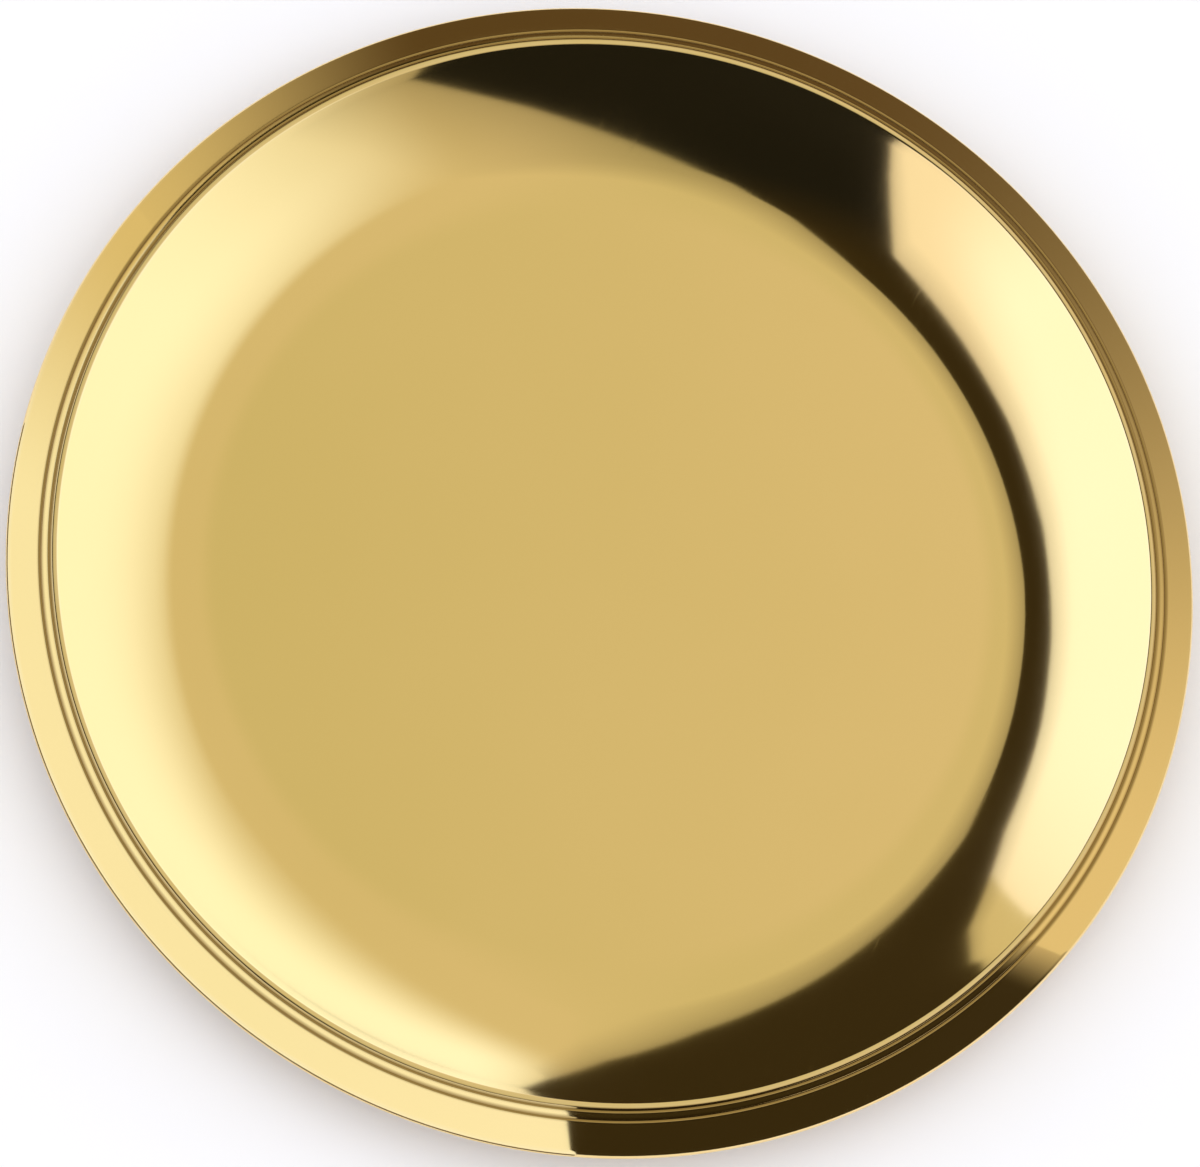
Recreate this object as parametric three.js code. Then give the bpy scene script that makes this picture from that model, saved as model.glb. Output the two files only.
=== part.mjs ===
// Round jewelry tray, pressed from one disc of steel sheet and plated gold.
// The wall sweeps up from a flat floor to a rounded crest, a skirt slopes down outside the crest,
// and the edge of the sheet is rolled round a stiffening wire.
// Millimetres, +Z up. The origin is on the table, under the middle of the tray.

import * as THREE from "three";

// Driving dimensions. Radii are those of the polished face, the one that is seen from above.
const OUTER_DIAMETER = 140;
const SHEET_THICKNESS = 0.5;
const HEEL_RADIUS = 14.5;
const WALL_RADIUS = 56.5;
const CREST_RADIUS = 0.7;
const SKIRT_LENGTH = 4.93;
const ROLL_RADIUS = 1;
const WIRE_CLEARANCE = 0.1;

// Slopes from the horizontal, in degrees.
const HEEL_SLOPE = 24;
const WALL_SLOPE = 38.5;
const SKIRT_SLOPE = 22;
const CURL_TURN = 205;

// Fineness of the solids.
const FACETS_AROUND = 60;
const HEEL_STEPS = 5;
const WALL_STEPS = 4;
const CREST_STEPS = 3;
const ROLL_STEPS = 4;
const CURL_STEPS = 8;
const WIRE_SIDES = 10;

const radians = THREE.MathUtils.degToRad;
const sine = (degrees) => Math.sin(radians(degrees));
const cosine = (degrees) => Math.cos(radians(degrees));

// How far the parts of the pressed sheet reach out beyond the flat floor.
const wallReach = HEEL_RADIUS * sine(HEEL_SLOPE) + WALL_RADIUS * (sine(WALL_SLOPE) - sine(HEEL_SLOPE));
const crestReach = CREST_RADIUS * (sine(WALL_SLOPE) + sine(SKIRT_SLOPE));
const skirtReach = SKIRT_LENGTH * cosine(SKIRT_SLOPE);
const rollReach = ROLL_RADIUS * (1 - sine(SKIRT_SLOPE));
const floorRadius = OUTER_DIAMETER / 2 - wallReach - crestReach - skirtReach - rollReach;

// The sheet's bends in order, from the middle of the floor to the free edge: heel, wall, the crest's two sides,
// skirt, on to the widest point of the roll, and the curl under it.
// A positive turn bends the sheet up, a negative one bends it down.
const bends = [
  { straight: floorRadius },
  { radius: HEEL_RADIUS, turn: HEEL_SLOPE, steps: HEEL_STEPS },
  { radius: WALL_RADIUS, turn: WALL_SLOPE - HEEL_SLOPE, steps: WALL_STEPS },
  { radius: CREST_RADIUS, turn: -WALL_SLOPE, steps: CREST_STEPS },
  { radius: CREST_RADIUS, turn: -SKIRT_SLOPE, steps: CREST_STEPS },
  { straight: SKIRT_LENGTH },
  { radius: ROLL_RADIUS, turn: SKIRT_SLOPE - 90, steps: ROLL_STEPS },
  { radius: ROLL_RADIUS, turn: -CURL_TURN, steps: CURL_STEPS },
];

// Unit vector square to the polished face where the sheet runs at the given slope.
function faceNormal(slope) {
  return new THREE.Vector2(-sine(slope), cosine(slope));
}

// Walks along the polished face and notes the place and the slope after each step.
function walkSheet(start, bendList) {
  let slope = 0;
  const stops = [{ place: start.clone(), slope }];
  for (const bend of bendList) {
    const from = stops.at(-1).place;
    if (bend.straight) {
      const ahead = new THREE.Vector2(cosine(slope), sine(slope));
      stops.push({ place: from.clone().addScaledVector(ahead, bend.straight), slope });
      continue;
    }
    const side = Math.sign(bend.turn);
    const centre = from.clone().addScaledVector(faceNormal(slope), side * bend.radius);
    const firstSlope = slope;
    for (let step = 1; step <= bend.steps; step += 1) {
      slope = firstSlope + (bend.turn * step) / bend.steps;
      const place = centre.clone().addScaledVector(faceNormal(slope), -side * bend.radius);
      stops.push({ place, slope });
    }
  }
  return stops;
}

// Turns a profile of radius and height round the tray's axis, and stands it along +Z.
function turn(profile) {
  const geometry = new THREE.LatheGeometry(profile, FACETS_AROUND);
  return geometry.rotateX(Math.PI / 2);
}

function makeDish(stops) {
  const polishedFace = stops.map((stop) => stop.place);
  const underside = stops.map((stop) =>
    stop.place.clone().addScaledVector(faceNormal(stop.slope), -SHEET_THICKNESS),
  );
  const gold = new THREE.MeshStandardMaterial({ color: 0xf7d98e, metalness: 1, roughness: 0.12 });
  const dish = new THREE.Mesh(turn([...underside, ...polishedFace.reverse()]), gold);
  dish.name = "dish";
  return dish;
}

// The wire fills the inside of the rolled edge, so it lies on the roll's own centre.
function makeRimWire(stops) {
  const edge = stops.at(-1);
  const rollCentre = edge.place.clone().addScaledVector(faceNormal(edge.slope), -ROLL_RADIUS);
  const wireRadius = ROLL_RADIUS - SHEET_THICKNESS - WIRE_CLEARANCE;
  const section = [];
  for (let side = 0; side <= WIRE_SIDES; side += 1) {
    const around = faceNormal((side * 360) / WIRE_SIDES);
    section.push(rollCentre.clone().addScaledVector(around, -wireRadius));
  }
  const steel = new THREE.MeshStandardMaterial({ color: 0xb9b6ae, metalness: 1, roughness: 0.35 });
  const wire = new THREE.Mesh(turn(section), steel);
  wire.name = "rim_wire";
  return wire;
}

const stops = walkSheet(new THREE.Vector2(0, SHEET_THICKNESS), bends);

const tray = new THREE.Group();
tray.add(makeDish(stops), makeRimWire(stops));

export default tray;
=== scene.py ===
# Round jewelry tray in polished gold plate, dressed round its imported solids.
# Metres, +Z up. The side of the tray that is nearest to the camera is at -Y.

from math import ceil, cos, pi, radians, sin

import bmesh
import bpy
from mathutils import Matrix, Vector


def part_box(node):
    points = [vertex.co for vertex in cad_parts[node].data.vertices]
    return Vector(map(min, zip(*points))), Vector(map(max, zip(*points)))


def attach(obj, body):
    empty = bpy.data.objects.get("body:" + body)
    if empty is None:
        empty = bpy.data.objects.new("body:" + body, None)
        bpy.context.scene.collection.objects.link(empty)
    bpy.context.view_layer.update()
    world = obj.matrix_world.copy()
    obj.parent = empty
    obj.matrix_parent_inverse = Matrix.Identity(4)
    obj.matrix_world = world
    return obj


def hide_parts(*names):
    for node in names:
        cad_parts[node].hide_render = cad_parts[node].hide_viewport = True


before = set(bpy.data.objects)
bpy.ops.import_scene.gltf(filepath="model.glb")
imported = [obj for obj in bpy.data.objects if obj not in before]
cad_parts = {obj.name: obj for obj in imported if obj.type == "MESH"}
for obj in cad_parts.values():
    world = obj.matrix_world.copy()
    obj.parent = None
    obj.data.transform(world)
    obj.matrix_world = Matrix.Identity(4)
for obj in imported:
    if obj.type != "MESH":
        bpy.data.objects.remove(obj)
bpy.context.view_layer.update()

MM = 0.001

# Sizes of the pressed sheet, the same as the solids have. Radii are those of the polished face.
OUTER_RADIUS = 70 * MM
SHEET_THICKNESS = 0.5 * MM
HEEL_RADIUS = 14.5 * MM
WALL_RADIUS = 56.5 * MM
CREST_RADIUS = 0.7 * MM
SKIRT_LENGTH = 4.93 * MM
ROLL_RADIUS = 1.0 * MM
WIRE_CLEARANCE = 0.1 * MM

# Slopes of the sheet from the horizontal, in degrees
HEEL_SLOPE = 24
WALL_SLOPE = 38.5
SKIRT_SLOPE = 22
CURL_TURN = 205

# Two fine lines rolled into the skirt: how far down it each begins, and its section
GROOVE_OFFSETS = (0.0, 1.14 * MM)
GROOVE_SLOPE = 32
GROOVE_CORNER = 0.18 * MM
GROOVE_SIDE = 0.1 * MM
GROOVE_BOTTOM = 0.14 * MM

# Fineness of the turned surfaces. The guard is a narrow ring that keeps the floor's shading flat
# up to the heel.
STEPS_AROUND = 288
DEGREES_PER_STEP = 6
LENGTH_PER_STEP = 1.0 * MM
WIRE_SIDES = 24
FLOOR_GUARD = 0.5 * MM
MERGE_DISTANCE = 0.001 * MM

# Colours
GOLD_DEEP = (0.905, 0.67, 0.25, 1)
# The pale tone serves both random paler patches and painted light toward one side of the tray
GOLD_PALE_AND_PAINTED_LIGHT = (0.985, 0.715, 0.30, 1)
GOLD_CREST_AND_EDGE = (0.93, 0.78, 0.50, 1)
# The groove colour is painted shade, dark gold standing in for the shade inside the two rolled lines
GROOVE_PAINTED_SHADE_COLOUR = (0.40, 0.255, 0.08, 1)
STEEL_DARK = (0.42, 0.41, 0.38, 1)
STEEL_LIGHT = (0.56, 0.55, 0.52, 1)
FLOOR_COLOUR = (0.94, 0.94, 0.94, 1)

# Where the gold is paler in random patches and on crest and edge, where painted light makes it paler toward
# one side, and where painted shade darkens the two lines
PAINTED_LIGHT_BEARING = 26
PAINTED_LIGHT_REACH = 0.6 * OUTER_RADIUS
PAINTED_LIGHT_SHARE = 0.7
PALE_PATCH_SCALE = 22
PALE_PATCH_SHARE = 0.3
PALE_EDGE_BAND = (69.3 * MM, 69.9 * MM)
PALE_CREST_BAND = (9.1 * MM, 9.3 * MM)
CREST_EDGE_PATCH_SCALE = 160
CREST_EDGE_SHARE = 0.5
GROOVE_SHADE = (0.1 * MM, 0.42 * MM)

# Finishes: roughness where the metal is smooth and where it is dull, and the depth of its marks
POLISHED_FINISH = {"smooth": 0.06, "dull": 0.085, "relief_depth": 0.0003 * MM}
UNDERSIDE_FINISH = {"smooth": 0.16, "dull": 0.26, "relief_depth": 0.001 * MM}
STEEL_FINISH = {"smooth": 0.28, "dull": 0.42, "relief_depth": 0.004 * MM}
STEEL_TONE_SCALE = 240
FLOOR_ROUGHNESS = 0.9

# Buffing marks. Most of a noise's values lie in the noise range.
GOLD_MARKS = {"rings_per_metre": 2600, "haze_scale": 55}
STEEL_MARKS = {"rings_per_metre": 5200, "haze_scale": 120}
NOISE_RANGE = (0.3, 0.7)
RING_CHANGE_AROUND = 0.004
HAIRLINE_BEARINGS = (20, 80, 140)
HAIRLINE_STRETCH = (900, 14, 14)
HAIRLINE_WIDTH = 0.006
HAIRLINE_PATCH_SCALE = 70
HAIRLINE_PATCHES = (0.52, 0.68)
HAIRLINE_ROUGHNESS = 0.06
HAIRLINE_DEPTH = 0.5

# Camera
CAMERA_DISTANCE = 500 * MM
CAMERA_TILT = 17.99
CAMERA_ROLL = 26
AIM_POINT = (0.08 * MM, -2.94 * MM, 6.48 * MM)
FOCAL_LENGTH = 128.5
SENSOR_WIDTH = 36
CLIP_START = 10 * MM

# Room light and cards. A card's places are in the picture's directions: right, up in the picture, height.
ROOM_LIGHT_LEFT = (0.675, 0.66, 0.525, 1)
ROOM_LIGHT_RIGHT = (0.735, 0.70, 0.60, 1)
ROOM_LIGHT_CHANGE = (0.0, 0.3)
WINDOW_LIGHT = (1.20, 1.37, 1.84, 1)
WINDOW_DIM = (1.02, 1.04, 1.2, 1)
FLAG_LIGHT = (0.039, 0.030, 0.014, 1)
FLAG_BLACK = (0.013, 0.013, 0.012, 1)
TOP_LIGHT = (1.18, 1.12, 1.05, 1)
FLOOR_RADIUS = 6.0
FLOOR_SIDES = 96
FLOOR_DROP = 0.1 * MM
WINDOW_DISTANCE = 4.0

# The side windows: corners along and up, and how their light fades from a base light.
# A fade is a direction, the place along it where the window's own light starts, and where it is full.
# Of the two fades under either, one is enough.
LEFT_WINDOW = {
    "corners": [(-14.0, 0.0), (7.0, 0.0), (7.0, 6.5), (1.0, 7.5), (-3.0, 10.0), (-14.0, 10.0)],
    "base": WINDOW_DIM,
    "fades": [((0, 0, 1), 7.0, 4.0), ((0, 1, 0), 9.0, 3.0), ((0, 1, 0), -4.0, -1.3)],
}
RIGHT_WINDOW = {
    "corners": [(-6.0, 0.0), (19.0, 0.0), (19.0, 10.0), (-6.0, 10.0)],
    "base": ROOM_LIGHT_RIGHT,
    "fades": [((0, 1, 0), -5.4, -0.2), ((0, 1, 0), 19.0, 11.0)],
    "either": [((0, 0.8, 1), 6.6, 2.0), ((0, -0.13, 1), 3.4, 0.5)],
}
NEAR_WINDOW_CORNERS = [(-4.0, -14.0, 0), (0.7, -14.0, 0), (0.7, -14.0, 4.0), (-4.0, -14.0, 4.0)]
TOP_LIGHT_SIZE = 6.0
TOP_LIGHT_HEIGHT = 3.0

# Dark cards. The overhead flag's edges are places per unit of its height.
FLAG_HEIGHT = 1.5
FLAG_FADES = [((0, 1, 0), -0.35, -0.8)]
FLAG_INNER_EDGE = [
    (1.58, 6.5), (0.57, 3.38), (0.07, 2.16), (-0.27, 1.58), (-0.43, 1.25), (-0.53, 0.97), (-0.52, 0.81),
    (-0.48, 0.56), (-0.42, 0.31), (-0.27, 0.05), (-0.18, -0.1), (-0.17, -0.3), (-0.1, -0.42), (0.06, -0.55),
    (0.33, -0.765), (0.97, -1.22), (2.6, -2.0),
]
FLAG_OUTER_EDGE = [
    (-1.8, -3.0), (-0.83, -1.22), (-0.585, -0.7), (-0.43, -0.34), (-0.54, -0.16), (-0.635, 0.02),
    (-0.71, 0.24), (-0.75, 0.5), (-0.77, 0.75), (-0.765, 1.15), (-0.93, 2.05), (-1.3, 3.1), (-2.25, 4.9),
    (-3.2, 6.5),
]
FLAG_NEAR_CORNER = (2.6, -3.0)
PENUMBRA_MIDDLE = (0.45, 0.5)
INNER_PENUMBRA = {"cover": 0.42, "reach": 0.68}
OUTER_PENUMBRA = {"cover": 0.3, "reach": 1.12}
FAR_FLAG_CORNERS = [(-5.6, 9.52, 0), (2.9, 9.52, 0), (2.33, 9.52, 1.5), (-5.3, 9.52, 1.5)]

# Low strips close round the tray: where each begins and ends, in degrees, its light, and how that
# fades from tan. The top edges fall toward the far side, by this much per unit of distance.
LOW_FLAG_RADIUS = 80 * MM
LOW_FLAG_FOOT = 5 * MM
LOW_FLAG_TOP = 26 * MM
LOW_FLAG_FALL = 0.13
LOW_FLAG_STEPS = 48
LOW_FLAG_TAN = (0.78, 0.72, 0.57, 1)
LOW_FLAG_BROWN = (0.11, 0.075, 0.04, 1)
LOW_FLAG_BRIGHT = (1.06, 1.16, 1.42, 1)
DARK_STRIP = (258, 330)
DARK_STRIP_RADIUS = 90 * MM
DARK_STRIP_TOP = 40 * MM
DARK_STRIP_FADES = [((1, 0, 0), 75 * MM, 67 * MM)]
BROWN_STRIP = (321, 500)
BROWN_STRIP_FADES = [((0, 1, 0), -42 * MM, 79 * MM), ((1, 0, 0), -68 * MM, -22 * MM)]
BRIGHT_STRIP = (140, 266.5)
BRIGHT_STRIP_FADES = [((0, 1, 0), 51 * MM, 10 * MM)]
FOOT_STRIP = (165, 266.5)


# Sheet metal

def face_normal(slope):
    """Direction square to the polished face where the sheet has this slope, in the profile's plane."""
    return Vector((-sin(radians(slope)), 0, cos(radians(slope))))


class SheetProfile:
    """One face of the sheet in profile, drawn from the middle of the floor to the free edge."""

    def __init__(self, mesh, depth):
        self.mesh = mesh
        self.depth = depth
        self.tip = mesh.verts.new((0, 0, SHEET_THICKNESS - depth))
        self.slope = 0

    def straight(self, length):
        ahead = Vector((cos(radians(self.slope)), 0, sin(radians(self.slope))))
        drawn = bmesh.ops.extrude_vert_indiv(self.mesh, verts=[self.tip])
        self.tip = drawn["verts"][0]
        bmesh.ops.translate(self.mesh, verts=[self.tip], vec=ahead * length)

    def bend(self, radius, turn):
        """Bends the sheet up or down. The radius is the polished face's; a face under it has its own."""
        side = 1 if turn > 0 else -1
        steps = max(abs(turn) / DEGREES_PER_STEP, radians(abs(turn)) * radius / LENGTH_PER_STEP)
        drawn = bmesh.ops.spin(
            self.mesh,
            geom=[self.tip],
            cent=self.tip.co + face_normal(self.slope) * (side * radius + self.depth),
            axis=(0, -1, 0),
            angle=radians(turn),
            steps=ceil(steps),
        )
        self.tip = next(item for item in drawn["geom_last"] if isinstance(item, bmesh.types.BMVert))
        self.slope += turn

    def groove(self):
        self.bend(GROOVE_CORNER, -GROOVE_SLOPE)
        self.straight(GROOVE_SIDE)
        self.bend(GROOVE_BOTTOM, 2 * GROOVE_SLOPE)
        self.straight(GROOVE_SIDE)
        self.bend(GROOVE_CORNER, -GROOVE_SLOPE)

    def close_edge(self):
        """Goes through the sheet's thickness to the polished face."""
        drawn = bmesh.ops.extrude_vert_indiv(self.mesh, verts=[self.tip])
        bmesh.ops.translate(self.mesh, verts=drawn["verts"], vec=face_normal(self.slope) * self.depth)


def groove_width():
    corners = (GROOVE_CORNER + GROOVE_BOTTOM) * sin(radians(GROOVE_SLOPE))
    return 2 * (corners + GROOVE_SIDE * cos(radians(GROOVE_SLOPE)))


def draw_sheet(mesh, depth, grooves):
    """Draws the face that lies this deep in the sheet."""
    profile = SheetProfile(mesh, depth)
    profile.straight(floor_radius() - FLOOR_GUARD)
    profile.straight(FLOOR_GUARD)
    profile.bend(HEEL_RADIUS, HEEL_SLOPE)
    profile.bend(WALL_RADIUS, WALL_SLOPE - HEEL_SLOPE)
    profile.bend(CREST_RADIUS, -WALL_SLOPE)
    profile.bend(CREST_RADIUS, -SKIRT_SLOPE)
    covered = 0
    for offset in grooves:
        if offset > covered:
            profile.straight(offset - covered)
        profile.groove()
        covered = offset + groove_width()
    profile.straight(SKIRT_LENGTH - covered)
    profile.bend(ROLL_RADIUS, SKIRT_SLOPE - 90)
    profile.bend(ROLL_RADIUS, -CURL_TURN)
    return profile


def turn_about_axis(mesh, geom):
    bmesh.ops.spin(
        mesh, geom=geom, cent=(0, 0, 0), axis=(0, 0, 1), angle=2 * pi, steps=STEPS_AROUND, use_merge=True
    )


def close_shell(mesh):
    bmesh.ops.remove_doubles(mesh, verts=mesh.verts, dist=MERGE_DISTANCE)
    bmesh.ops.recalc_face_normals(mesh, faces=mesh.faces)


def make_object(name, mesh, *materials):
    data = bpy.data.meshes.new(name)
    for face in mesh.faces:
        face.smooth = True
    mesh.to_mesh(data)
    mesh.free()
    for material in materials:
        data.materials.append(material)
    made = bpy.data.objects.new(name, data)
    bpy.context.scene.collection.objects.link(made)
    return made


def skirt_radius():
    """Where the skirt begins, outside the crest."""
    roll = ROLL_RADIUS * (1 - sin(radians(SKIRT_SLOPE)))
    return OUTER_RADIUS - roll - SKIRT_LENGTH * cos(radians(SKIRT_SLOPE))


def floor_radius():
    """What is left of the tray's radius for the flat floor."""
    crest = CREST_RADIUS * (sin(radians(WALL_SLOPE)) + sin(radians(SKIRT_SLOPE)))
    wall = WALL_RADIUS * (sin(radians(WALL_SLOPE)) - sin(radians(HEEL_SLOPE)))
    heel = HEEL_RADIUS * sin(radians(HEEL_SLOPE))
    return skirt_radius() - crest - wall - heel


def make_pressed_dish(polished, underside):
    """The polished face and the face under it, turned one after the other and closed along the free edge."""
    mesh = bmesh.new()
    draw_sheet(mesh, 0, GROOVE_OFFSETS)
    turn_about_axis(mesh, mesh.verts[:] + mesh.edges[:])
    polished_part = {*mesh.verts, *mesh.edges, *mesh.faces}
    draw_sheet(mesh, SHEET_THICKNESS, ()).close_edge()
    turn_about_axis(mesh, [item for item in (*mesh.verts, *mesh.edges) if item not in polished_part])
    for face in mesh.faces:
        face.material_index = 0 if face in polished_part else 1
    close_shell(mesh)
    return make_object("pressed_dish", mesh, polished, underside)


def make_edge_wire(material):
    wire_radius = ROLL_RADIUS - SHEET_THICKNESS - WIRE_CLEARANCE
    crest_drop = CREST_RADIUS * (1 - cos(radians(SKIRT_SLOPE)))
    skirt_drop = SKIRT_LENGTH * sin(radians(SKIRT_SLOPE))
    roll_drop = ROLL_RADIUS * cos(radians(SKIRT_SLOPE))
    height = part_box("dish")[1].z - crest_drop - skirt_drop - roll_drop
    section = Matrix.Translation((OUTER_RADIUS - ROLL_RADIUS, 0, height)) @ Matrix.Rotation(pi / 2, 4, "X")
    mesh = bmesh.new()
    bmesh.ops.create_circle(mesh, segments=WIRE_SIDES, radius=wire_radius, matrix=section)
    turn_about_axis(mesh, mesh.verts[:] + mesh.edges[:])
    close_shell(mesh)
    return make_object("edge_wire", mesh, material)


# Finishes

def add_node(tree, kind, inputs=None, **settings):
    """Adds a node, sets its properties, and fills its sockets with values or with other nodes' outputs."""
    node = tree.nodes.new(kind)
    for name, value in settings.items():
        setattr(node, name, value)
    for name, value in (inputs or {}).items():
        if isinstance(value, bpy.types.NodeSocket):
            tree.links.new(value, node.inputs[name])
        else:
            node.inputs[name].default_value = value
    return node


def maths(tree, operation, *values):
    node = add_node(tree, "ShaderNodeMath", dict(enumerate(values)), operation=operation)
    return node.outputs[0]


def map_range(tree, value, low, high, to_low=0.0, to_high=1.0):
    limits = {"Value": value, "From Min": low, "From Max": high, "To Min": to_low, "To Max": to_high}
    return add_node(tree, "ShaderNodeMapRange", limits).outputs["Result"]


def noise(tree, place, scale, detail):
    return add_node(
        tree, "ShaderNodeTexNoise", {"Vector": place, "Scale": scale, "Detail": detail}
    ).outputs["Fac"]


def mix_colours(tree, share, first, second):
    node = add_node(tree, "ShaderNodeMix", {0: share, 6: first, 7: second}, data_type="RGBA")
    return node.outputs[2]


def distance_from_axis(tree, axes):
    flat_place = add_node(tree, "ShaderNodeCombineXYZ", {"X": axes["X"], "Y": axes["Y"]}).outputs[0]
    return add_node(tree, "ShaderNodeVectorMath", {0: flat_place}, operation="LENGTH").outputs["Value"]


def make_buffing_group():
    """Marks that a buffing wheel leaves on a turning piece: fine rings, hazy patches and stray hairlines."""
    group = bpy.data.node_groups.new("buffing_marks", "ShaderNodeTree")
    for name in ("Rings per metre", "Haze scale"):
        group.interface.new_socket(name, in_out="INPUT", socket_type="NodeSocketFloat")
    for name in ("Rings", "Haze", "Hairlines"):
        group.interface.new_socket(name, in_out="OUTPUT", socket_type="NodeSocketFloat")
    entry = add_node(group, "NodeGroupInput").outputs
    place = add_node(group, "ShaderNodeTexCoord").outputs["Object"]
    axes = add_node(group, "ShaderNodeSeparateXYZ", {0: place}).outputs

    bearing = maths(group, "ARCTAN2", axes["Y"], axes["X"])
    around = maths(group, "MULTIPLY", bearing, RING_CHANGE_AROUND)
    ring_place = add_node(
        group, "ShaderNodeCombineXYZ", {"X": distance_from_axis(group, axes), "Y": around, "Z": axes["Z"]}
    ).outputs[0]
    rings = noise(group, ring_place, entry["Rings per metre"], detail=2)
    haze = noise(group, place, entry["Haze scale"], detail=4)

    hairlines = None
    for bearing_of_wipe in HAIRLINE_BEARINGS:
        stretched = add_node(
            group,
            "ShaderNodeMapping",
            {"Vector": place, "Rotation": (0, 0, radians(bearing_of_wipe)), "Scale": HAIRLINE_STRETCH},
        ).outputs[0]
        streaks = noise(group, stretched, scale=1, detail=0)
        from_middle = maths(group, "ABSOLUTE", maths(group, "SUBTRACT", streaks, 0.5))
        line = map_range(group, from_middle, 0, HAIRLINE_WIDTH, 1, 0)
        hairlines = line if hairlines is None else maths(group, "MAXIMUM", hairlines, line)
    patches = map_range(group, noise(group, place, HAIRLINE_PATCH_SCALE, detail=1), *HAIRLINE_PATCHES)

    leave = add_node(group, "NodeGroupOutput").inputs
    group.links.new(rings, leave["Rings"])
    group.links.new(haze, leave["Haze"])
    group.links.new(maths(group, "MULTIPLY", hairlines, patches), leave["Hairlines"])
    return group


def start_metal(name, buffing, rings_per_metre, haze_scale):
    material = bpy.data.materials.new(name)
    material.use_nodes = True
    tree = material.node_tree
    scales = {"Rings per metre": rings_per_metre, "Haze scale": haze_scale}
    marks = add_node(tree, "ShaderNodeGroup", scales, node_tree=buffing).outputs
    return material, tree, marks


def finish_metal(tree, colour, marks, smooth, dull, relief_depth):
    """Puts the colour on the metal, and roughness and relief from its buffing marks."""
    shader = tree.nodes["Principled BSDF"]
    haze = map_range(tree, marks["Haze"], *NOISE_RANGE, smooth, dull)
    roughness = maths(tree, "ADD", haze, maths(tree, "MULTIPLY", marks["Hairlines"], HAIRLINE_ROUGHNESS))
    scratches = maths(tree, "MULTIPLY", marks["Hairlines"], HAIRLINE_DEPTH)
    relief = maths(tree, "SUBTRACT", marks["Rings"], scratches)
    bump = add_node(tree, "ShaderNodeBump", {"Height": relief, "Strength": 1.0, "Distance": relief_depth})
    tree.links.new(colour, shader.inputs["Base Color"])
    tree.links.new(roughness, shader.inputs["Roughness"])
    tree.links.new(bump.outputs[0], shader.inputs["Normal"])
    shader.inputs["Metallic"].default_value = 1


def make_gold(name, buffing, finish):
    """Gold plate in two close tones: the paler one in random patches, and as painted light that makes the
    gold paler toward one side of the tray.
    """
    material, tree, marks = start_metal(name, buffing, **GOLD_MARKS)
    place = add_node(tree, "ShaderNodeTexCoord").outputs["Object"]
    # Painted light: the gold grows paler toward one side of the tray, for brighter room light reflected from
    # that side
    painted_light_side = (cos(radians(PAINTED_LIGHT_BEARING)), sin(radians(PAINTED_LIGHT_BEARING)), 0)
    toward = add_node(tree, "ShaderNodeVectorMath", {0: place, 1: painted_light_side}, operation="DOT_PRODUCT")
    reach = toward.outputs["Value"]
    painted_light = map_range(tree, reach, -PAINTED_LIGHT_REACH, PAINTED_LIGHT_REACH, 0.0, PAINTED_LIGHT_SHARE)
    clouds = noise(tree, place, PALE_PATCH_SCALE, detail=3)
    patches = map_range(tree, clouds, *NOISE_RANGE, 0.0, PALE_PATCH_SHARE)
    tone = mix_colours(tree, maths(tree, "ADD", painted_light, patches), GOLD_DEEP, GOLD_PALE_AND_PAINTED_LIGHT)
    finish_metal(tree, tone, marks, **finish)
    return material, tree, place, tone


def make_polished_gold(buffing):
    """Gold plate that is paler in patches on the crest's top and the outer edge, with painted shade that
    darkens the two lines.
    """
    material, tree, place, tone = make_gold("gold_polished", buffing, POLISHED_FINISH)
    axes = add_node(tree, "ShaderNodeSeparateXYZ", {0: place}).outputs
    distance = distance_from_axis(tree, axes)
    # Paler, in patches, on the crest's top and the outermost edge
    on_edge = map_range(tree, distance, *PALE_EDGE_BAND)
    on_crest = map_range(tree, axes["Z"], *PALE_CREST_BAND)
    on_either = maths(tree, "MAXIMUM", on_crest, on_edge)
    crest_edge_paling = maths(tree, "MULTIPLY", on_either, noise(tree, place, CREST_EDGE_PATCH_SCALE, detail=3))
    colour = mix_colours(tree, maths(tree, "MULTIPLY", crest_edge_paling, CREST_EDGE_SHARE), tone, GOLD_CREST_AND_EDGE)
    # Painted shade: the middle of each groove is mixed toward the dark groove colour, for the shade inside
    # it
    for offset in GROOVE_OFFSETS:
        middle = skirt_radius() + (offset + groove_width() / 2) * cos(radians(SKIRT_SLOPE))
        from_middle = maths(tree, "ABSOLUTE", maths(tree, "SUBTRACT", distance, middle))
        depth = map_range(tree, from_middle, *GROOVE_SHADE, 1, 0)
        colour = mix_colours(tree, depth, colour, GROOVE_PAINTED_SHADE_COLOUR)
    tree.links.new(colour, tree.nodes["Principled BSDF"].inputs["Base Color"])
    return material


def make_steel(name, buffing):
    material, tree, marks = start_metal(name, buffing, **STEEL_MARKS)
    place = add_node(tree, "ShaderNodeTexCoord").outputs["Object"]
    clouds = noise(tree, place, STEEL_TONE_SCALE, detail=3)
    tone = mix_colours(tree, clouds, STEEL_DARK, STEEL_LIGHT)
    finish_metal(tree, tone, marks, **STEEL_FINISH)
    return material


# Stage

def in_tray_directions(place):
    """Turns a place or direction from the picture's directions into the tray's."""
    return Matrix.Rotation(radians(CAMERA_ROLL), 3, "Z") @ Vector(place)


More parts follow.
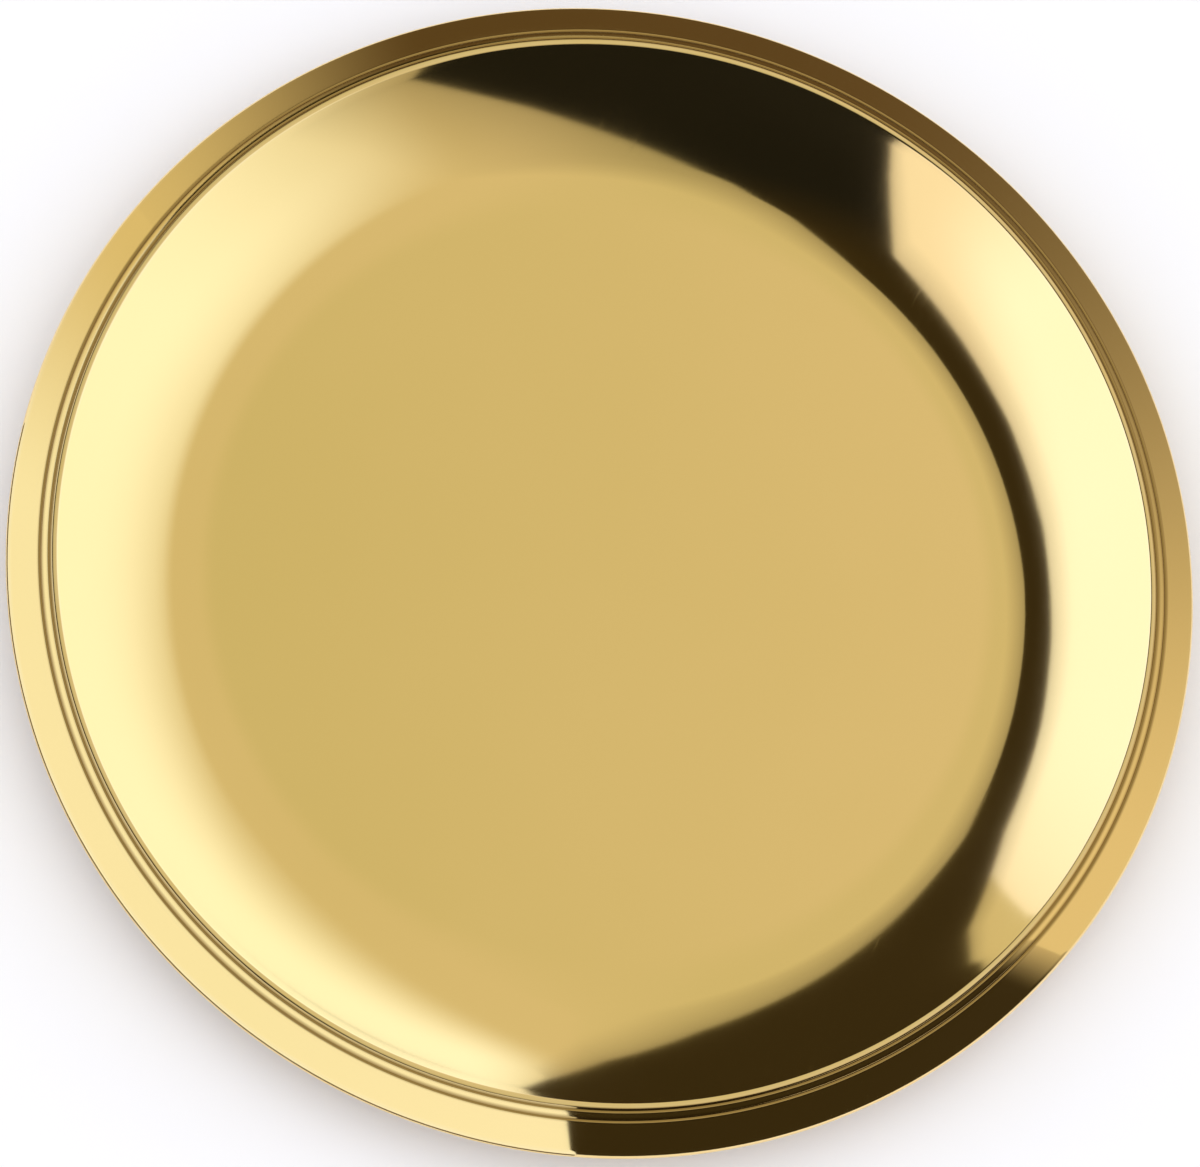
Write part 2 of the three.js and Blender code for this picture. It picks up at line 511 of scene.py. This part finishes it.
def light_material(name, colour, base=None, fades=(), either=()):
    """A card that glows evenly, or from a base light to its own along all its fades and either of a pair."""
    material = bpy.data.materials.new(name)
    material.use_nodes = True
    tree = material.node_tree
    tree.nodes.clear()
    glow = add_node(tree, "ShaderNodeEmission", {"Color": colour})
    if base:
        place = add_node(tree, "ShaderNodeTexCoord").outputs["Object"]
        shares = [along(tree, place, *fade) for fade in fades]
        if either:
            first, second = [along(tree, place, *fade) for fade in either]
            both = maths(tree, "MULTIPLY", first, second)
            shares.append(maths(tree, "SUBTRACT", maths(tree, "ADD", first, second), both))
        share = 1.0
        for factor in shares:
            share = maths(tree, "MULTIPLY", share, factor)
        tree.links.new(mix_colours(tree, share, base, colour), glow.inputs["Color"])
    add_node(tree, "ShaderNodeOutputMaterial", {"Surface": glow.outputs[0]})
    return material


def along(tree, place, direction, first, last):
    """Rises smoothly from 0 to 1 between two places along one of the picture's directions."""
    axis = {0: place, 1: in_tray_directions(direction)}
    reach = add_node(tree, "ShaderNodeVectorMath", axis, operation="DOT_PRODUCT").outputs["Value"]
    limits = {"Value": reach, "From Min": first, "From Max": last}
    return add_node(tree, "ShaderNodeMapRange", limits, interpolation_type="SMOOTHSTEP").outputs["Result"]


def penumbra_material():
    """Dark where a card's own cover is 1, and clear where it is 0."""
    material = bpy.data.materials.new("penumbra")
    material.use_nodes = True
    tree = material.node_tree
    tree.nodes.clear()
    cover = add_node(tree, "ShaderNodeAttribute", attribute_name="cover").outputs["Fac"]
    clear = add_node(tree, "ShaderNodeBsdfTransparent").outputs[0]
    dark = add_node(tree, "ShaderNodeEmission", {"Color": FLAG_LIGHT}).outputs[0]
    mixed = add_node(tree, "ShaderNodeMixShader", {0: cover, 1: clear, 2: dark}).outputs[0]
    add_node(tree, "ShaderNodeOutputMaterial", {"Surface": mixed})
    return material


def stage_card(name, mesh, material):
    """Turns a card from the picture's directions into the tray's, and hides it from the camera."""
    bmesh.ops.rotate(mesh, verts=mesh.verts, matrix=Matrix.Rotation(radians(CAMERA_ROLL), 3, "Z"))
    card = make_object(name, mesh, material)
    card.visible_camera = False
    return card


def make_card(name, corners, material):
    mesh = bmesh.new()
    outline = [mesh.verts.new(corner) for corner in corners]
    for pair in zip(outline, outline[1:] + outline[:1]):
        bmesh.ops.contextual_create(mesh, geom=pair)
    bmesh.ops.edgeloop_fill(mesh, edges=mesh.edges)
    return stage_card(name, mesh, material)


def make_window(name, side, corners, **light):
    """A window at one side of the room."""
    places = [(side * WINDOW_DISTANCE, *corner) for corner in corners]
    make_card(name, places, light_material(name, WINDOW_LIGHT, **light))


def only_in_polish(flag):
    """Lets only the polish show a flag, so that the floor stays evenly lit."""
    flag.visible_diffuse = False
    flag.visible_shadow = False


def overhead(place):
    """A place on the overhead flag, from its place per unit of height."""
    right, up = place
    return Vector((right, up, 1)) * FLAG_HEIGHT


def make_penumbra(name, edge, material, cover, reach):
    """A strip along one edge of the overhead flag that softens it, from part cover at the edge to none."""
    mesh = bmesh.new()
    share = mesh.verts.layers.float.new("cover")
    chain = [mesh.verts.new(overhead(place)) for place in edge]
    for pair in zip(chain, chain[1:]):
        bmesh.ops.contextual_create(mesh, geom=pair)
    for vert in chain:
        vert[share] = cover
    drawn = bmesh.ops.extrude_edge_only(mesh, edges=mesh.edges)
    rim = [item for item in drawn["geom"] if isinstance(item, bmesh.types.BMVert)]
    for vert in rim:
        vert[share] = 0
    about = Matrix.Translation(-overhead(PENUMBRA_MIDDLE))
    bmesh.ops.scale(mesh, verts=rim, vec=(reach, reach, 1), space=about)
    only_in_polish(stage_card(name, mesh, material))


def make_flags():
    """Dark cards overhead and beyond the tray, darkest toward the near side."""
    outline = [overhead(place) for place in (*FLAG_INNER_EDGE, FLAG_NEAR_CORNER, *FLAG_OUTER_EDGE)]
    shades = light_material("overhead_flag", FLAG_BLACK, FLAG_LIGHT, FLAG_FADES)
    only_in_polish(make_card("overhead_flag", outline, shades))
    soft = penumbra_material()
    make_penumbra("inner_penumbra", FLAG_INNER_EDGE, soft, **INNER_PENUMBRA)
    make_penumbra("outer_penumbra", FLAG_OUTER_EDGE, soft, **OUTER_PENUMBRA)
    only_in_polish(make_card("far_flag", FAR_FLAG_CORNERS, light_material("far_flag", FLAG_LIGHT)))


def make_low_flag(name, span, radius, foot, top, material):
    """A low strip close round part of the tray, for the skirt to reflect. Only a tall strip's top falls."""
    start, end = span
    mesh = bmesh.new()
    low_end = mesh.verts.new((radius, 0, foot))
    drawn = bmesh.ops.extrude_vert_indiv(mesh, verts=[low_end])
    bmesh.ops.translate(mesh, verts=drawn["verts"], vec=(0, 0, top - foot))
    bmesh.ops.rotate(mesh, verts=mesh.verts, matrix=Matrix.Rotation(radians(start), 3, "Z"))
    geom = mesh.verts[:] + mesh.edges[:]
    turn = radians(end - start)
    bmesh.ops.spin(mesh, geom=geom, cent=(0, 0, 0), axis=(0, 0, 1), angle=turn, steps=LOW_FLAG_STEPS)
    fall = Matrix(((1, 0, 0), (0, 1, 0), (0, -LOW_FLAG_FALL, 1)))
    upper = [vert for vert in mesh.verts if vert.co.z > LOW_FLAG_FOOT + MM]
    bmesh.ops.transform(mesh, verts=upper, matrix=fall)
    only_in_polish(stage_card(name, mesh, material))


def make_top_light():
    """Light from above that brightens the floor but isn't seen in the polish."""
    half = TOP_LIGHT_SIZE / 2
    corners = [(x * half, y * half, TOP_LIGHT_HEIGHT) for x, y in ((-1, -1), (-1, 1), (1, 1), (1, -1))]
    make_card("top_light", corners, light_material("top_light", TOP_LIGHT)).visible_glossy = False


def make_floor():
    material = bpy.data.materials.new("pale_floor")
    material.use_nodes = True
    shader = material.node_tree.nodes["Principled BSDF"]
    shader.inputs["Base Color"].default_value = FLOOR_COLOUR
    shader.inputs["Roughness"].default_value = FLOOR_ROUGHNESS
    shader.inputs["Specular IOR Level"].default_value = 0.0
    mesh = bmesh.new()
    low = Matrix.Translation((0, 0, -FLOOR_DROP))
    bmesh.ops.create_circle(mesh, cap_ends=True, segments=FLOOR_SIDES, radius=FLOOR_RADIUS, matrix=low)
    make_object("pale_floor", mesh, material)


def light_room():
    """Light from all round, a little brighter and less yellow toward the right."""
    world = bpy.data.worlds.new("room")
    world.use_nodes = True
    tree = world.node_tree
    direction = add_node(tree, "ShaderNodeTexCoord").outputs["Generated"]
    share = along(tree, direction, (1, 0, 0), *ROOM_LIGHT_CHANGE)
    colour = mix_colours(tree, share, ROOM_LIGHT_LEFT, ROOM_LIGHT_RIGHT)
    tree.links.new(colour, tree.nodes["Background"].inputs["Color"])
    bpy.context.scene.world = world


def make_camera():
    lens = bpy.data.cameras.new("camera")
    lens.sensor_fit = "HORIZONTAL"
    lens.sensor_width = SENSOR_WIDTH
    lens.lens = FOCAL_LENGTH
    lens.clip_start = CLIP_START
    camera = bpy.data.objects.new("camera", lens)
    turned = Matrix.Rotation(radians(CAMERA_TILT), 4, "X") @ Matrix.Rotation(radians(CAMERA_ROLL), 4, "Z")
    back_off = Matrix.Translation((0, 0, CAMERA_DISTANCE))
    camera.matrix_world = Matrix.Translation(AIM_POINT) @ turned @ back_off
    bpy.context.scene.collection.objects.link(camera)
    bpy.context.scene.camera = camera


# The tray

buffing = make_buffing_group()
polished = make_polished_gold(buffing)
underside = make_gold("gold_underside", buffing, UNDERSIDE_FINISH)[0]
steel = make_steel("steel_wire", buffing)

dish = make_pressed_dish(polished, underside)
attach(dish, "root")
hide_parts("dish")

wire = make_edge_wire(steel)
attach(wire, "root")
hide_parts("rim_wire")

# The room

make_floor()
make_window("left_window", -1, **LEFT_WINDOW)
make_window("right_window", 1, **RIGHT_WINDOW)
make_card("near_window", NEAR_WINDOW_CORNERS, light_material("near_window", WINDOW_LIGHT))
make_flags()
for name, span, radius, top, light, fades in (
    ("dark_strip", DARK_STRIP, DARK_STRIP_RADIUS, DARK_STRIP_TOP, FLAG_LIGHT, DARK_STRIP_FADES),
    ("brown_strip", BROWN_STRIP, LOW_FLAG_RADIUS, LOW_FLAG_TOP, LOW_FLAG_BROWN, BROWN_STRIP_FADES),
    ("bright_strip", BRIGHT_STRIP, LOW_FLAG_RADIUS, LOW_FLAG_TOP, LOW_FLAG_BRIGHT, BRIGHT_STRIP_FADES),
):
    strip = light_material(name, light, LOW_FLAG_TAN, fades)
    make_low_flag(name, span, radius, LOW_FLAG_FOOT, top, strip)
shade = light_material("foot_strip", LOW_FLAG_BROWN)
make_low_flag("foot_strip", FOOT_STRIP, LOW_FLAG_RADIUS, 0, LOW_FLAG_FOOT, shade)
make_top_light()
light_room()
make_camera()
bpy.context.scene.view_settings.view_transform = "Standard"
